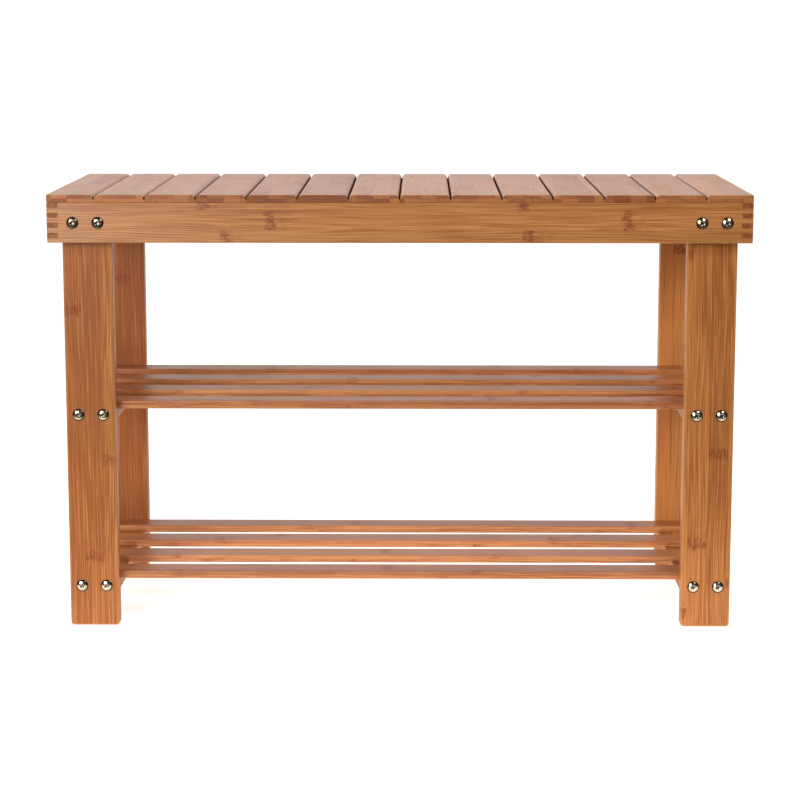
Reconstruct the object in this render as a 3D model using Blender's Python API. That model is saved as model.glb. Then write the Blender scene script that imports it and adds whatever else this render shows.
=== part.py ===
"""Entryway bench: a bamboo bench with a slatted seat over two open shoe shelves.

Units are metres and +Z is up. The origin is on the floor under the middle of the bench. X runs
along the bench, and Y runs from its front (-Y) to its back (+Y).

Four aprons are finger-jointed into a frame, and the seat slats lie across it from front to back.
Four flat legs stand inside the front and rear aprons. A shelf is a pair of flat end rails, each
between a front and a rear leg, with long slats let into their tops. Dome-headed screws with a
hexagon socket go through the aprons into the legs, and through the legs into the end rails.
"""

import math

import bmesh
import bpy

# Overall size. The depth is over the aprons, without the screw heads.
BENCH_WIDTH = 0.700
BENCH_DEPTH = 0.280
BENCH_HEIGHT = 0.443

# Fits
TOUCH_GAP = 0.0003          # between two pieces that touch
SCREW_CLEARANCE = 0.0003    # around a shank, and past its point
LEG_END_CLEARANCE = 0.002   # between a leg and the side apron beside it

# Seat frame
APRON_HEIGHT = 0.040
APRON_THICKNESS = 0.011
FINGER_COUNT = 8            # fingers in one corner, both boards together

# Seat slats. The end slats have their own width, and the others share the rest.
SEAT_SLAT_COUNT = 14
SEAT_SLAT_THICKNESS = 0.0075
SEAT_SLAT_GAP = 0.0013      # the open slit between two slats
SEAT_SLIT_DEPTH = 0.0048    # from the seat's top; the slats meet below it
END_SLAT_WIDTH = 0.0458
CHAMFER_WIDTH = 0.0026      # the V between two slats, measured across
CHAMFER_DEPTH = 0.0032      # and downwards
SLAT_EDGE_RADIUS = 0.0002

# Legs
LEG_WIDTH = 0.050
LEG_THICKNESS = 0.015
LEG_EDGE_RADIUS = 0.0015
LEG_FOOT_RADIUS = 0.0035    # the two bottom corners of the broad face
ARC_STEPS = 4

# Shelves
SHELF_HEIGHTS = {"lower": 0.0418, "upper": 0.2194}   # the middle of the end rails
RAIL_THICKNESS = 0.012
SHELF_SLAT_COUNT = 4
SHELF_SLAT_WIDTH = 0.030
SHELF_SLAT_THICKNESS = 0.008
SHELF_SLAT_EDGE_RADIUS = 0.0006
SHELF_SLAT_LET_IN = 0.0025  # how deep a slat sits in the rails

# Screws
SCREW_SPACING = 0.025       # between the two screws of a joint
SCREW_DIAMETER = 0.0045
SCREW_POINT = 0.003         # length of the tapered point
HEAD_DIAMETER = 0.012
HEAD_HEIGHT = 0.0024
HEAD_RIM = 0.0004           # the upright edge of the head, below its dome
DOME_STEPS = 3
SOCKET_ACROSS_FLATS = 0.004
SOCKET_DEPTH = 0.0016
APRON_SCREW_LENGTH = 0.025  # under the head
RAIL_SCREW_LENGTH = 0.050
ROUND_STEPS = 12            # sides of a screw; a multiple of 6, for the socket

# Heights and faces that several pieces share
APRON_TOP = BENCH_HEIGHT - SEAT_SLAT_THICKNESS - TOUCH_GAP
APRON_MIDDLE = APRON_TOP - APRON_HEIGHT / 2
APRON_INNER_FACE = BENCH_DEPTH / 2 - APRON_THICKNESS
LEG_OUTER_FACE = APRON_INNER_FACE - TOUCH_GAP
LEG_MIDDLE = LEG_OUTER_FACE - LEG_THICKNESS / 2
LEG_INNER_FACE = LEG_OUTER_FACE - LEG_THICKNESS
LEG_OUTER_EDGE = BENCH_WIDTH / 2 - APRON_THICKNESS - LEG_END_CLEARANCE
LEG_CENTRE = LEG_OUTER_EDGE - LEG_WIDTH / 2
RAIL_HALF_LENGTH = LEG_INNER_FACE - TOUCH_GAP

SIDES = {"left": -1, "right": 1}
FACES = {"front": -1, "rear": 1}


def clear_scene():
    """Remove every object that the file opened with."""
    for item in list(bpy.data.objects):
        bpy.data.objects.remove(item, do_unlink=True)


def make_material(name, colour, roughness, metallic=0.0):
    """Return a Principled material; the colour is linear RGB."""
    material = bpy.data.materials.new(name)
    material.use_nodes = True
    shader = material.node_tree.nodes["Principled BSDF"]
    shader.inputs["Base Color"].default_value = (*colour, 1.0)
    shader.inputs["Roughness"].default_value = roughness
    shader.inputs["Metallic"].default_value = metallic
    return material


def make_object(name, mesh, material, parent, location=(0, 0, 0)):
    """Link a mesh into the scene as a named piece under an assembly's empty."""
    if not mesh.materials:
        mesh.materials.append(material)
    piece = bpy.data.objects.new(name, mesh)
    bpy.context.collection.objects.link(piece)
    piece.parent = parent
    piece.location = location
    return piece


def make_assembly(name, parent=None):
    """Return an empty that holds one group of pieces together."""
    empty = bpy.data.objects.new(name, None)
    bpy.context.collection.objects.link(empty)
    empty.parent = parent
    return empty


def extruded(name, outline, axis, thickness):
    """Return a mesh of a flat outline pushed out by its thickness, centred on its plane.

    axis "x" takes (y, z) points and axis "y" takes (x, z) points.
    """
    half = thickness / 2
    if axis == "x":
        corners = [(-half, y, z) for y, z in outline]
        step = (thickness, 0, 0)
    else:
        corners = [(x, -half, z) for x, z in outline]
        step = (0, thickness, 0)
    shape = bmesh.new()
    face = shape.faces.new([shape.verts.new(corner) for corner in corners])
    pushed = bmesh.ops.extrude_face_region(shape, geom=[face])
    moved = [item for item in pushed["geom"] if isinstance(item, bmesh.types.BMVert)]
    bmesh.ops.translate(shape, verts=moved, vec=step)
    bmesh.ops.recalc_face_normals(shape, faces=shape.faces)
    mesh = bpy.data.meshes.new(name)
    shape.to_mesh(mesh)
    shape.free()
    return mesh


def rectangle(width, height):
    """Return the corners of a rectangle that stands on the axis, centred across it."""
    half = width / 2
    return [(-half, 0.0), (half, 0.0), (half, height), (-half, height)]


def round_edges(piece, radius, segments=1):
    """Ease the square edges of a board; its flatter chamfers and arcs stay as they are."""
    bevel = piece.modifiers.new("eased edges", "BEVEL")
    bevel.width = radius
    bevel.segments = segments
    bevel.limit_method = "ANGLE"
    bevel.angle_limit = math.radians(60)


def bore_holes(piece, holes):
    """Cut round holes along Y, each given as (x, z, first y, last y) in the piece's frame."""
    shape = bmesh.new()
    radius = SCREW_DIAMETER / 2 + SCREW_CLEARANCE
    for x, z, start, end in holes:
        low, high = sorted((start, end))
        ring = []
        for step in range(ROUND_STEPS):
            angle = math.tau * step / ROUND_STEPS
            ring.append(shape.verts.new((x + radius * math.cos(angle), low,
                                         z + radius * math.sin(angle))))
        face = shape.faces.new(ring)
        pushed = bmesh.ops.extrude_face_region(shape, geom=[face])
        moved = [item for item in pushed["geom"] if isinstance(item, bmesh.types.BMVert)]
        bmesh.ops.translate(shape, verts=moved, vec=(0, high - low, 0))
    bmesh.ops.recalc_face_normals(shape, faces=shape.faces)
    mesh = bpy.data.meshes.new(piece.name + "_holes")
    shape.to_mesh(mesh)
    shape.free()
    cutter = bpy.data.objects.new(piece.name + "_holes", mesh)
    bpy.context.collection.objects.link(cutter)
    cutter.parent = piece
    cutter.hide_render = True
    cutter.display_type = "WIRE"
    cut = piece.modifiers.new("screw holes", "BOOLEAN")
    cut.operation = "DIFFERENCE"
    cut.solver = "EXACT"
    cut.object = cutter


def screw_offsets():
    """Return where the two screws of a joint are, from the middle of the leg's width."""
    return {"outer": SCREW_SPACING / 2, "inner": -SCREW_SPACING / 2}


def comb_outline(length, finger_depth, first_finger):
    """Return the outline of an apron with its end fingers, from z = 0 up.

    first_finger is 0 where the board has the lowest finger, and 1 where its neighbour has it.
    """
    half = length / 2
    pitch = APRON_HEIGHT / FINGER_COUNT
    slack = TOUCH_GAP / 2
    edge = []
    for index in range(FINGER_COUNT):
        own = index % 2 == first_finger
        reach = half if own else half - finger_depth - TOUCH_GAP
        ease = -slack if own else slack
        bottom = 0.0 if index == 0 else index * pitch - ease
        top = APRON_HEIGHT if index == FINGER_COUNT - 1 else (index + 1) * pitch + ease
        edge.append((reach, bottom))
        edge.append((reach, top))
    return edge + [(-across, up) for across, up in reversed(edge)]


def build_aprons(material, parent):
    """Make the four boards of the seat frame and bore the long ones for their screws."""
    bottom = APRON_TOP - APRON_HEIGHT
    long_outline = comb_outline(BENCH_WIDTH, APRON_THICKNESS, 0)
    short_outline = comb_outline(BENCH_DEPTH, APRON_THICKNESS, 1)
    past = APRON_THICKNESS
    for face, sign in FACES.items():
        mesh = extruded(face + "_apron", long_outline, "y", APRON_THICKNESS)
        place = (0, sign * (BENCH_DEPTH - APRON_THICKNESS) / 2, bottom)
        apron = make_object(face + "_apron", mesh, material, parent, place)
        holes = [(side * (LEG_CENTRE + offset), APRON_HEIGHT / 2, -past, past)
                 for side in SIDES.values() for offset in screw_offsets().values()]
        bore_holes(apron, holes)
    for side, sign in SIDES.items():
        mesh = extruded(side + "_apron", short_outline, "x", APRON_THICKNESS)
        place = (sign * (BENCH_WIDTH - APRON_THICKNESS) / 2, 0, bottom)
        make_object(side + "_apron", mesh, material, parent, place)


def seat_slat_side(half, joined):
    """Return one side of a seat slat's end face, from the bottom up.

    A side that has a neighbour is chamfered at the top and has a lip at the bottom that meets
    the neighbour's lip.
    """
    top = SEAT_SLAT_THICKNESS
    if not joined:
        return [(half, 0.0), (half, top)]
    lip = half + (SEAT_SLAT_GAP - TOUCH_GAP) / 2
    ledge = top - SEAT_SLIT_DEPTH
    return [(lip, 0.0), (lip, ledge), (half, ledge), (half, top - CHAMFER_DEPTH),
            (half - CHAMFER_WIDTH, top)]


def seat_slat_outline(width, left_joined, right_joined):
    """Return a seat slat's end face."""
    half = width / 2
    left = seat_slat_side(half, left_joined)
    return seat_slat_side(half, right_joined) + [(-across, up) for across, up in reversed(left)]


def build_seat_slats(material, parent):
    """Lay the slats over the frame from left to right, a gap apart."""
    last = SEAT_SLAT_COUNT - 1
    gaps = last * SEAT_SLAT_GAP
    inner_width = (BENCH_WIDTH - gaps - 2 * END_SLAT_WIDTH) / (SEAT_SLAT_COUNT - 2)
    left = -BENCH_WIDTH / 2
    for index in range(SEAT_SLAT_COUNT):
        width = END_SLAT_WIDTH if index in (0, last) else inner_width
        name = f"seat_slat_{index + 1:02d}"
        outline = seat_slat_outline(width, index > 0, index < last)
        mesh = extruded(name, outline, "y", BENCH_DEPTH)
        place = (left + width / 2, 0, BENCH_HEIGHT - SEAT_SLAT_THICKNESS)
        slat = make_object(name, mesh, material, parent, place)
        round_edges(slat, SLAT_EDGE_RADIUS)
        left += width + SEAT_SLAT_GAP


def leg_outline():
    """Return the broad face of a leg, from the floor to the top of the aprons."""
    half = LEG_WIDTH / 2
    corner = half - LEG_FOOT_RADIUS
    arc = []
    for step in range(ARC_STEPS + 1):
        angle = math.pi / 2 * step / ARC_STEPS
        arc.append((corner + LEG_FOOT_RADIUS * math.sin(angle),
                    LEG_FOOT_RADIUS * (1 - math.cos(angle))))
    right = arc + [(half, APRON_TOP)]
    return right + [(-across, up) for across, up in reversed(right)]


def build_legs(material, parent):
    """Stand the four legs inside the long aprons and bore them for their screws."""
    past = LEG_THICKNESS
    for face, toward in FACES.items():
        for side, sign in SIDES.items():
            name = f"{face}_{side}_leg"
            mesh = extruded(name, leg_outline(), "y", LEG_THICKNESS)
            place = (sign * LEG_CENTRE, toward * LEG_MIDDLE, 0)
            leg = make_object(name, mesh, material, parent, place)
            round_edges(leg, LEG_EDGE_RADIUS, segments=2)
            depth = APRON_SCREW_LENGTH - APRON_THICKNESS - TOUCH_GAP + SCREW_CLEARANCE
            bottom = toward * (LEG_THICKNESS / 2 - depth)
            holes = []
            for offset in screw_offsets().values():
                holes.append((sign * offset, APRON_MIDDLE, toward * past, bottom))
                for height in SHELF_HEIGHTS.values():
                    holes.append((sign * offset, height, -past, past))
            bore_holes(leg, holes)


def shelf_slat_places():
    """Return the Y of each shelf slat; the outer two are flush with the rails' ends."""
    first = SHELF_SLAT_WIDTH / 2 - RAIL_HALF_LENGTH
    pitch = -2 * first / (SHELF_SLAT_COUNT - 1)
    return [first + index * pitch for index in range(SHELF_SLAT_COUNT)]


def rail_outline():
    """Return a shelf end rail's side, with a housing in its top for each slat."""
    top = RAIL_THICKNESS / 2
    floor = top - SHELF_SLAT_LET_IN - TOUCH_GAP
    reach = SHELF_SLAT_WIDTH / 2 + TOUCH_GAP
    outline = [(RAIL_HALF_LENGTH, -top), (RAIL_HALF_LENGTH, floor)]
    places = shelf_slat_places()
    for place in reversed(places):
        if place != places[-1]:
            outline += [(place + reach, top), (place + reach, floor)]
        if place != places[0]:
            outline += [(place - reach, floor), (place - reach, top)]
    return outline + [(-RAIL_HALF_LENGTH, floor), (-RAIL_HALF_LENGTH, -top)]


def build_shelf(level, height, rail_material, slat_material, parent):
    """Make one shelf: an end rail at each side and the slats let into them."""
    depth = RAIL_SCREW_LENGTH - LEG_THICKNESS - 2 * TOUCH_GAP + SCREW_CLEARANCE
    for side, sign in SIDES.items():
        name = f"{level}_shelf_{side}_rail"
        mesh = extruded(name, rail_outline(), "x", LEG_WIDTH)
        place = (sign * LEG_CENTRE, 0, height)
        rail = make_object(name, mesh, rail_material, parent, place)
        holes = []
        for offset in screw_offsets().values():
            for toward in FACES.values():
                end = toward * RAIL_HALF_LENGTH
                holes.append((sign * offset, 0, end + toward * depth, end - toward * depth))
        bore_holes(rail, holes)
    outline = rectangle(SHELF_SLAT_WIDTH, SHELF_SLAT_THICKNESS)
    bottom = height + RAIL_THICKNESS / 2 - SHELF_SLAT_LET_IN
    for index, place in enumerate(shelf_slat_places()):
        name = f"{level}_shelf_slat_{index + 1}"
        mesh = extruded(name, outline, "x", 2 * LEG_OUTER_EDGE)
        slat = make_object(name, mesh, slat_material, parent, (0, place, bottom))
        round_edges(slat, SHELF_SLAT_EDGE_RADIUS)


def hexagon_reach(angle):
    """Return how far the socket's wall is from the axis at an angle."""
    sector = math.tau / 6
    return SOCKET_ACROSS_FLATS / 2 / math.cos(angle % sector - sector / 2)


def dome_rings():
    """Return the rings of a screw head's dome, from its rim to near its socket."""
    base = HEAD_DIAMETER / 2
    rise = HEAD_HEIGHT - HEAD_RIM
    sphere = (base ** 2 + rise ** 2) / (2 * rise)
    inner = SOCKET_ACROSS_FLATS / 2 / math.cos(math.pi / 6) + HEAD_RIM
    rings = []
    for step in range(DOME_STEPS):
        radius = base + (inner - base) * step / (DOME_STEPS - 1)
        height = math.sqrt(sphere ** 2 - radius ** 2) - (sphere - rise)
        rings.append((radius, -HEAD_RIM - height))
    return rings


def screw_mesh(name, length):
    """Return a domed screw along +Y, with the underside of its head at y = 0.

    Its rings run from the point to the bottom of the socket, each a radius and a place along
    the screw. The socket's rings have no radius, because they follow its hexagon.
    """
    head = HEAD_DIAMETER / 2
    shank = SCREW_DIAMETER / 2
    rings = [
        (shank, length - SCREW_POINT),
        (shank, 0.0),
        (head, 0.0),
        *dome_rings(),
        (None, -HEAD_HEIGHT),
        (None, SOCKET_DEPTH - HEAD_HEIGHT),
    ]
    shape = bmesh.new()
    tip = shape.verts.new((0, length, 0))
    previous = []
    for radius, along in rings:
        ring = []
        for step in range(ROUND_STEPS):
            angle = math.tau * step / ROUND_STEPS
            reach = hexagon_reach(angle) if radius is None else radius
            ring.append(shape.verts.new((reach * math.cos(angle), along,
                                         reach * math.sin(angle))))
        for step in range(ROUND_STEPS):
            following = (step + 1) % ROUND_STEPS
            if previous:
                shape.faces.new((previous[step], previous[following],
                                 ring[following], ring[step]))
            else:
                shape.faces.new((tip, ring[following], ring[step]))
        previous = ring
    shape.faces.new(previous)
    bmesh.ops.recalc_face_normals(shape, faces=shape.faces)
    mesh = bpy.data.meshes.new(name)
    shape.to_mesh(mesh)
    shape.free()
    mesh.shade_smooth()
    mesh.set_sharp_from_angle(angle=math.radians(35))
    return mesh


def build_screws(material, parent):
    """Put two screws in each joint of each leg, with their heads outwards."""
    apron_mesh = screw_mesh("apron_screw", APRON_SCREW_LENGTH)
    rail_mesh = screw_mesh("rail_screw", RAIL_SCREW_LENGTH)
    joints = [("apron", apron_mesh, BENCH_DEPTH / 2, APRON_MIDDLE)]
    for level, height in SHELF_HEIGHTS.items():
        joints.append((level + "_rail", rail_mesh, LEG_OUTER_FACE, height))
    for face, toward in FACES.items():
        for side, sign in SIDES.items():
            for joint, mesh, seat, height in joints:
                for place, offset in screw_offsets().items():
                    name = f"{face}_{side}_{joint}_screw_{place}"
                    centre = (sign * (LEG_CENTRE + offset), toward * (seat + TOUCH_GAP), height)
                    screw = make_object(name, mesh, material, parent, centre)
                    screw.rotation_euler.z = math.pi if toward > 0 else 0.0


def main():
    """Build the bench."""
    clear_scene()
    frame_bamboo = make_material("frame_bamboo", (0.49, 0.26, 0.10), 0.42)
    seat_bamboo = make_material("seat_bamboo", (0.52, 0.28, 0.15), 0.32)
    leg_bamboo = make_material("leg_bamboo", (0.40, 0.17, 0.07), 0.42)
    shelf_bamboo = make_material("shelf_bamboo", (0.45, 0.22, 0.10), 0.38)
    screw_steel = make_material("screw_steel", (0.62, 0.58, 0.50), 0.28, 1.0)
    bench = make_assembly("bench")
    seat = make_assembly("seat", bench)
    build_aprons(frame_bamboo, seat)
    build_seat_slats(seat_bamboo, seat)
    build_legs(leg_bamboo, bench)
    for level, height in SHELF_HEIGHTS.items():
        shelf = make_assembly(level + "_shelf", bench)
        build_shelf(level, height, leg_bamboo, shelf_bamboo, shelf)
    build_screws(screw_steel, bench)


main()
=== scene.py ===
"""Bamboo entryway bench: the finished look of a slatted bench with two open shoe shelves.

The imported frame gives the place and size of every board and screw. This file builds each board
again with eased edges, finger joints, chamfers and screw holes, gives it laminated bamboo that
runs along its own grain, turns the screws, and lights the bench on a pale studio floor.
"""

import math
import random

import bmesh
import bpy
from mathutils import Matrix, Vector


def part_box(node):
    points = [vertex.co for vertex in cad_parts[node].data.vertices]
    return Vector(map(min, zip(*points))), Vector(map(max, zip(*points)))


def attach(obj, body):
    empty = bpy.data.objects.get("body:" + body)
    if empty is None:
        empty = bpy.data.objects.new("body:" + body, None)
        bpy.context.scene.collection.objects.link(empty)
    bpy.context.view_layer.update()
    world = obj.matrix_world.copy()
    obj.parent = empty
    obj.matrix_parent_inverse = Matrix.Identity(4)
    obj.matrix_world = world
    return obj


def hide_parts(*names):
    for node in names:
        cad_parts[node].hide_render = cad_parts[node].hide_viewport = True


bl_info = {
    "name": "Bamboo Entryway Bench",
    "version": (1, 0, 0),
    "blender": (4, 5, 0),
    "location": "View3D > Sidebar > Bench",
    "description": "Builds a slatted bamboo bench with two shoe shelves on its packed frame",
    "category": "Add Mesh",
}

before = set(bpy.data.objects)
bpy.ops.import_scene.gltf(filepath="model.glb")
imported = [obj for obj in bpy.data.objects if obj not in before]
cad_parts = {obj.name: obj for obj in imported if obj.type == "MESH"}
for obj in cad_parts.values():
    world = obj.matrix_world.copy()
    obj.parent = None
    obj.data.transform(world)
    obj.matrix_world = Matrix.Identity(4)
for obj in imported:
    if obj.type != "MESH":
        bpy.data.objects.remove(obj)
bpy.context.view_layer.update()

FACES = ("front", "rear")
SIDES = ("left", "right")
LEVELS = ("lower", "upper")
SEAT_SLATS = sorted(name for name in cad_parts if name.startswith("seat_slat"))
SHELF_SLATS = sorted(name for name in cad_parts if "_shelf_slat_" in name)
SCREWS = sorted(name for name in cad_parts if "_screw_" in name)

# Each kind of board: the way its grain runs, the way across its broad face, and how many
# layers of strips it is pressed from.
BOARDS = {
    "long_apron": ((1, 0, 0), (0, 0, 1), 3),
    "side_apron": ((0, 1, 0), (0, 0, 1), 3),
    "seat_slat": ((0, 1, 0), (-1, 0, 0), 2),
    "leg": ((0, 0, 1), (1, 0, 0), 3),
    "shelf_rail": ((0, 1, 0), (-1, 0, 0), 3),
    "shelf_slat": ((1, 0, 0), (0, 1, 0), 2),
}

# Boards that are darker (-) or lighter (+) than the others of their kind, in shares of the
# whole range of tones: the board, and its end grain, which drank more or less lacquer. The
# rear legs' tones are painted shade and painted light, for the seat's shade on them. A board
# that is not listed differs hardly at all.
TONES = {
    "left_apron": (-0.20, 0.0),
    "right_apron": (-0.24, 0.0),
    "front_left_leg": (-0.30, 0.0),
    "front_right_leg": (0.06, 0.0),
    # Painted shade: the rear left leg is darkened for the seat's shade on it.
    "rear_left_leg": (-0.42, 0.0),
    # Painted light: the rear right leg is lightened against the seat's shadow on its upper part.
    "rear_right_leg": (0.44, 0.0),
    "seat_slat_01": (None, 0.15),
    "seat_slat_02": (None, 0.10),
    "seat_slat_05": (-0.18, -0.55),
    "seat_slat_06": (-0.26, -0.80),
    "seat_slat_08": (None, -0.40),
    "seat_slat_11": (None, 0.25),
    "seat_slat_12": (-0.10, -0.35),
    "seat_slat_13": (0.08, 0.0),
    "seat_slat_14": (0.18, 0.50),
}

# Steps along the curves that are worked out here.
FOOT_STEPS = 6
RIM_STEPS = 4
DOME_STEPS = 8

# Edges that turn by more than this are square enough to be rounded, in degrees.
SQUARE_EDGE = 60
# A seam keeps at least this share of a strip away from a board's long edges.
SEAM_MARGIN = 0.12
# The layers are drawn 3 % too thick, so that no layer's seam lies on the surface.
LAYER_SQUEEZE = 0.97
# Added to the number of a layer, so that it is never negative.
LAYER_START = 10
# How squarely a face must look along the grain before end grain starts to show on it, and
# how much more squarely before it shows fully.
END_GRAIN_FROM, END_GRAIN_OVER = 0.75, 0.2
# How far down a slit's wall the painted shade starts, and over how much more of the wall it
# darkens fully, in shares of the round-over's depth.
SLIT_SHADE_FROM, SLIT_SHADE_OVER = 0.42, 0.4

# How long and how wide each kind of mark in the bamboo is, in metres. Streaks and fibres take
# their widths from the settings.
DRIFT = (0.22, 0.035)
BEND = (0.11, 0.5)
BEND_REACH = 0.006
STREAK_LENGTH = 0.30
FIBRE_LENGTH = 0.075
PORE_LENGTH = 0.040
KNUCKLE_EDGE = (0.012, 0.0035)
KNUCKLE_DASH = (0.0045, 0.0014)
KNUCKLE_LEAD = 0.004
# The core of a knuckle's band that is dark all through.
KNUCKLE_CORE = 0.002
# How much longer than the shortest the distance between two knuckles may be.
KNUCKLE_SPREAD = 0.10
# Where a glue line starts and ends to fade, in shares of a strip and of a layer.
STRIP_GLUE = (0.008, 0.026)
LAYER_GLUE = (0.015, 0.055)
# Fibre bundles in the end grain, smears in the lacquer, die rings and haze on the screws.
BUNDLE_SPACING = 0.0011
SMEAR_SIZE = 0.06
RING_SPACING = 0.00035
HAZE_SIZE = 0.003

# Each light: the setting that gives its power, where it hangs, what it faces, its width and
# height, and its tint.
LIGHTS = {
    "key_soft_box": ("key_power", (-1.15, -1.9, 1.05), (0, 0, 0.28), (1.1, 0.9),
                     (1.0, 0.985, 0.965)),
    "fill_soft_box": ("fill_power", (1.2, -1.5, 1.9), (0, 0, 0.25), (0.8, 0.8),
                      (1.0, 0.96, 0.91)),
    "left_panel": ("panel_power", (-0.88, -2.1, 0.45), (-0.2, 0, 0.38), (0.4, 0.6),
                   (1.0, 0.99, 0.98)),
    "scrim": ("scrim_power", (0.0, 0.3, 2.3), (0, 0, 0.3), (2.0, 1.6), (1.0, 0.985, 0.965)),
}
FLOOR_REACH = 12.0
FLOOR_DROP = 0.0005


def from_hex(code):
    """Turn an sRGB hex colour into linear RGB."""
    parts = [int(code[start:start + 2], 16) / 255 for start in (1, 3, 5)]
    return [part / 12.92 if part <= 0.04045 else ((part + 0.055) / 1.055) ** 2.4
            for part in parts]


def setting(name, default, description, unit="LENGTH"):
    """Describe a size in metres, or a light's power in watts, that a user can change."""
    return bpy.props.FloatProperty(
        name=name, description=description, default=default, unit=unit)


def colour_setting(name, code, description):
    """Describe a colour that a user can change, from its sRGB hex code."""
    return bpy.props.FloatVectorProperty(
        name=name, description=description, subtype="COLOR", default=from_hex(code))


def size_of(node):
    """Return the size of a CAD node's box."""
    low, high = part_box(node)
    return high - low


class BenchBoardSizes(bpy.types.PropertyGroup):
    """How the boards are shaped, apart from the sizes that the frame gives."""

    apron_edge: setting("Apron edge", 0.0006, "Radius of the aprons' eased long edges")
    finger_edge: setting(
        "Finger edge", 0.00015, "Radius that sanding leaves on the finger joints")
    finger_count: bpy.props.IntProperty(
        name="Fingers", description="Fingers in one corner, both boards together", default=8)
    joint_gap: setting("Joint gap", 0.0001, "The line that shows between two glued fingers")
    slat_edge: setting("Seat slat edge", 0.0009, "Radius of the seat slats' eased edges")
    chamfer_width: setting(
        "Chamfer width", 0.0031, "Width of the round-over along a slit in the seat")
    chamfer_depth: setting(
        "Chamfer depth", 0.0033, "Depth of the round-over along a slit in the seat")
    slit_depth: setting(
        "Slit depth", 0.0048, "Depth from the seat's top at which the slats meet")
    slat_lip: setting("Slat lip", 0.0005, "How far a slat's lip reaches into the slit")
    slat_squeeze: setting(
        "Slat squeeze", 0.00013, "How far a lip swells towards the next slat's lip")
    leg_edge: setting("Leg edge", 0.0018, "Radius of the legs' rounded edges")
    foot_corner: setting("Foot corner", 0.0035, "Radius of the two corners of a leg's foot")
    rail_edge: setting("Rail edge", 0.0006, "Radius of the shelf end rails' edges")
    shelf_edge: setting("Shelf slat edge", 0.0010, "Radius of the shelf slats' rounded edges")
    housing_gap: setting("Housing gap", 0.0003, "Room between a shelf slat and its housing")
    edge_steps: bpy.props.IntProperty(
        name="Edge steps", description="Faces across a rounded edge", default=3)


class BenchBambooLook(bpy.types.PropertyGroup):
    """The bamboo: how its strips are cut and what colours the steaming gave them."""

    strip_width: setting("Strip width", 0.0195, "Width of one planed bamboo strip")
    seat_strip_width: setting("Seat strip width", 0.0162, "Width of one strip in the seat slats")
    streak_width: setting("Streak width", 0.0024, "Width of the broad streaks along the grain")
    fibre_width: setting("Fibre width", 0.0009, "Width of a fibre bundle as drawn")
    knuckle_spacing: setting(
        "Knuckle spacing", 0.30, "Shortest distance between two knuckles of a cane")
    knuckle_length: setting(
        "Knuckle length", 0.015, "Length of a knuckle's dark band along the grain")
    frame_pale: colour_setting("Frame, pale", "#D0965B", "Palest fibres of the aprons")
    frame_dark: colour_setting("Frame, dark", "#A26433", "Darkest fibres of the aprons")
    seat_pale: colour_setting("Seat, pale", "#D1935D", "Palest fibres of the seat slats")
    seat_dark: colour_setting("Seat, dark", "#9C5D34", "Darkest fibres of the seat slats")
    leg_pale: colour_setting("Legs, pale", "#CD8F50", "Palest fibres of the legs and rails")
    leg_dark: colour_setting("Legs, dark", "#97572A", "Darkest fibres of the legs and rails")
    shelf_pale: colour_setting("Shelves, pale", "#CB8C58", "Palest fibres of the shelf slats")
    shelf_dark: colour_setting("Shelves, dark", "#975930", "Darkest fibres of the shelf slats")
    # Painted shade: the dark brown mixed into the walls of the slits between the seat slats.
    slit_shade: colour_setting(
        "Painted_slit_shade", "#45200F", "Colour that the cutter left in the slits of the seat")
    knuckle: colour_setting(
        "Knuckle", "#80391C", "Colour of the band across a strip at a knuckle")


class BenchScrewSizes(bpy.types.PropertyGroup):
    """The domed hexagon-socket screws."""

    rim: setting("Rim", 0.0006, "Radius of the round at the foot of the head's dome")
    head_height: setting("Head height", 0.0024, "Height of the head over the board")
    shank: setting("Shank", 0.0045, "Diameter of the shank")
    point: setting("Point", 0.003, "Length of the tapered point")
    socket: setting("Socket", 0.0038, "Hexagon socket, across its flats")
    socket_depth: setting("Socket depth", 0.0017, "Depth of the socket's walls")
    clearance: setting("Clearance", 0.0003, "Room round a shank in its hole")
    steps: bpy.props.IntProperty(
        name="Steps", description="Faces round a screw; a multiple of 6", default=48)
    plating: colour_setting("Plating", "#CCC4B4", "Colour of the bright nickel plating")


class BenchStageSettings(bpy.types.PropertyGroup):
    """The studio: floor, lights and camera."""

    floor_colour: colour_setting("Floor", "#F6F5F3", "Colour of the studio floor")
    floor_front: setting("Floor front", -0.32, "Where the table ends in front of the bench")
    floor_glow: bpy.props.FloatProperty(
        name="Floor glow", description="Light that comes up through the white floor",
        default=0.74)
    key_power: setting("Key light", 31.0, "Power of the soft box at the left in front", "POWER")
    fill_power: setting(
        "Fill light", 20.0, "Power of the soft box at the right in front", "POWER")
    panel_power: setting(
        "Left panel", 7.5, "Power of the tall panel at the left of the camera", "POWER")
    scrim_power: setting("Scrim", 15.0, "Power of the lit scrim over the bench", "POWER")
    lens: bpy.props.FloatProperty(
        name="Lens", description="Focal length of the camera in millimetres", default=96.4)
    camera_place: bpy.props.FloatVectorProperty(
        name="Camera", description="Where the camera stands", subtype="TRANSLATION",
        default=(0.0216, -2.254, 0.6226))
    camera_dip: bpy.props.FloatProperty(
        name="Dip", description="How far the camera looks down", subtype="ANGLE",
        default=math.radians(8.62))
    camera_turn: bpy.props.FloatProperty(
        name="Turn", description="How far the camera turns to the left", subtype="ANGLE",
        default=math.radians(0.57))
    camera_shift: bpy.props.FloatProperty(
        name="Shift", description="How far the frame slides down, in shares of its side",
        default=-0.08)


# ---- Materials ----


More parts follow.
